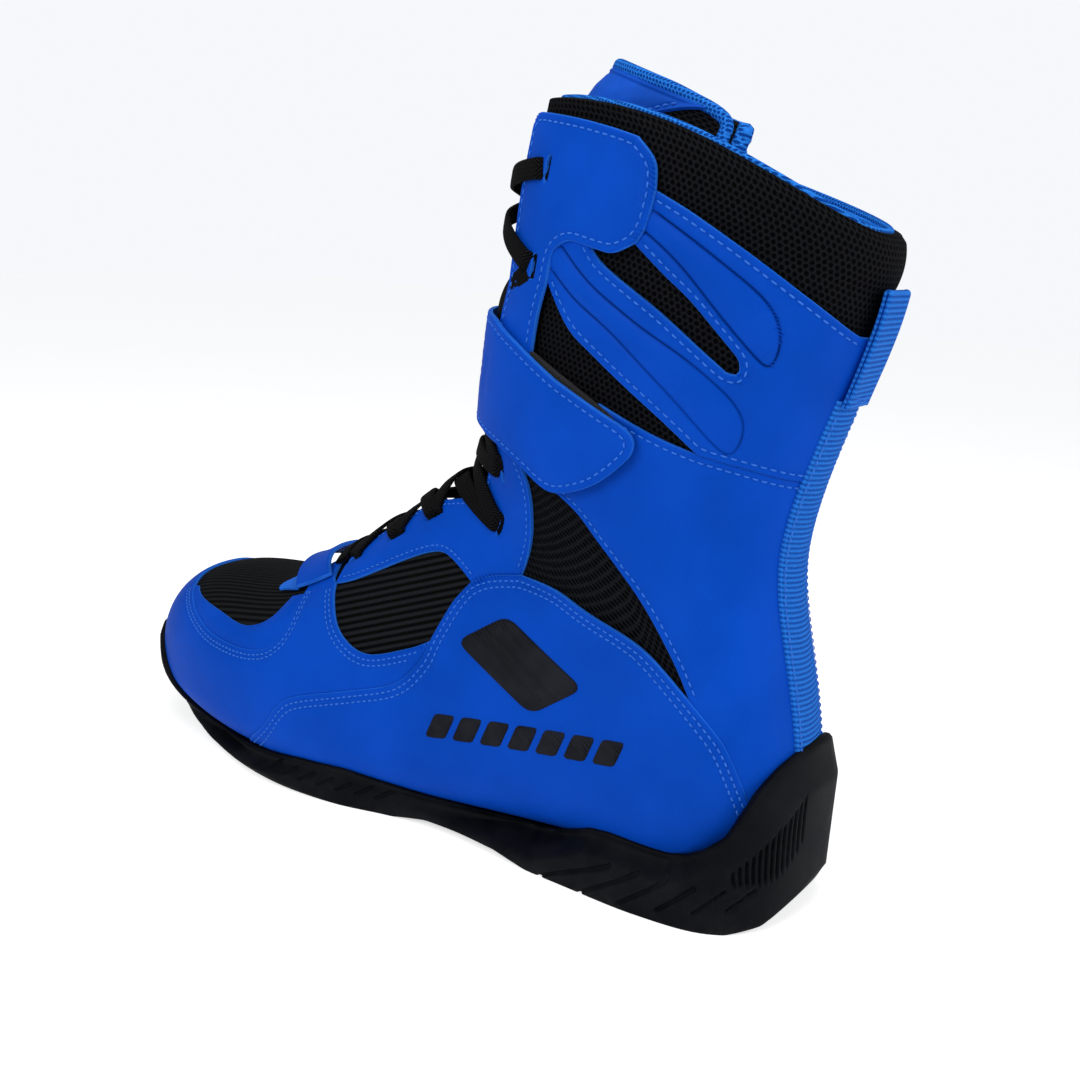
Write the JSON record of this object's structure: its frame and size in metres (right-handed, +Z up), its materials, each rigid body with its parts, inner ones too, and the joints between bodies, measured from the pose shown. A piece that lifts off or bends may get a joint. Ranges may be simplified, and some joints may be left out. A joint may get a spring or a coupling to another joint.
{
  "type": "boxing boot",
  "caption": "Left lace-up boxing boot with a mesh bootie, overlay panels, cup sole, ankle strap, padded tongue and pull loop.",
  "frame": {"origin": "on the ground under the middle of the heel, on the flat underside of the outsole", "axes": "+Z up, -Y towards the toe, +X towards the lateral (outer) side of this left boot"},
  "size_m": [0.1045, 0.3099, 0.2775],
  "materials": {
    "blue_leather": "satin synthetic leather, blue",
    "blue_webbing": "ribbed woven webbing, blue",
    "light_blue_fabric": "fine knitted lining mesh, lighter blue",
    "black_mesh": "open spacer mesh, black",
    "black_rib": "fine ribbed fabric, black",
    "black_rubber": "matte moulded rubber, black",
    "black_lace": "flat woven lace, black",
    "hook_tape": "hook and loop tape, black",
    "foam": "closed-cell foam",
    "board": "fibre board"
  },
  "bodies": {
    "boot": {"outsole": "black_rubber", "midsole": "foam", "insole_board": "board", "sockliner": "light_blue_fabric", "mesh_upper": "black_mesh", "lining": "light_blue_fabric", "heel_counter": "board", "toe_puff": "board", "collar_foam": "foam", "toe_cap": "blue_leather", "toe_window": "black_rib", "toe_rim_lateral": "blue_leather", "toe_rim_medial": "blue_leather", "vamp_band": "blue_leather", "vamp_tab": "blue_leather", "quarter_lateral": "blue_leather", "rear_quarter_lateral": "blue_leather", "side_window_lateral": "black_rib", "shaft_panel_lateral": "blue_leather", "lower_eyestay_lateral": "blue_leather", "upper_eyestay_lateral": "blue_leather", "quarter_medial": "blue_leather", "rear_quarter_medial": "blue_leather", "side_window_medial": "black_rib", "shaft_panel_medial": "blue_leather", "lower_eyestay_medial": "blue_leather", "upper_eyestay_medial": "blue_leather", "tongue_body": "black_mesh", "lace": "black_lace", "strap_anchor": "blue_leather", "loop_patch": "hook_tape", "heel_strip": "blue_webbing", "collar_binding": "light_blue_fabric", "ankle_patch_lateral": "black_rubber", "ankle_patch_medial": "black_rubber"},
    "strap": {"strap_body": "blue_leather"},
    "strap_end": {"strap_tip": "blue_leather", "hook_patch": "hook_tape"},
    "tongue_flap": {"tongue_top": "blue_leather"},
    "pull_tab": {"pull_loop": "blue_webbing"}
  },
  "joints": [
    {"name": "strap_swing", "type": "hinge", "parent": "boot", "child": "strap", "pos_m": [-0.03627, -0.06204, 0.15792], "axis": [0.0698, 0.0199, -0.9974], "range_deg": [0, 110]},
    {"name": "strap_peel", "type": "hinge", "parent": "strap", "child": "strap_end", "pos_m": [0.03544, -0.06777, 0.1598], "axis": [-0.0698, 0, -0.9976], "range_deg": [0, 80]},
    {"name": "tongue_fold", "type": "hinge", "parent": "boot", "child": "tongue_flap", "pos_m": [0, -0.07368, 0.24756], "axis": [1, 0, 0], "range_deg": [0, 28]},
    {"name": "pull_tab_fold", "type": "hinge", "parent": "boot", "child": "pull_tab", "pos_m": [0, 0.03732, 0.17068], "axis": [-1, 0, 0], "range_deg": [0, 60]}
  ]
}
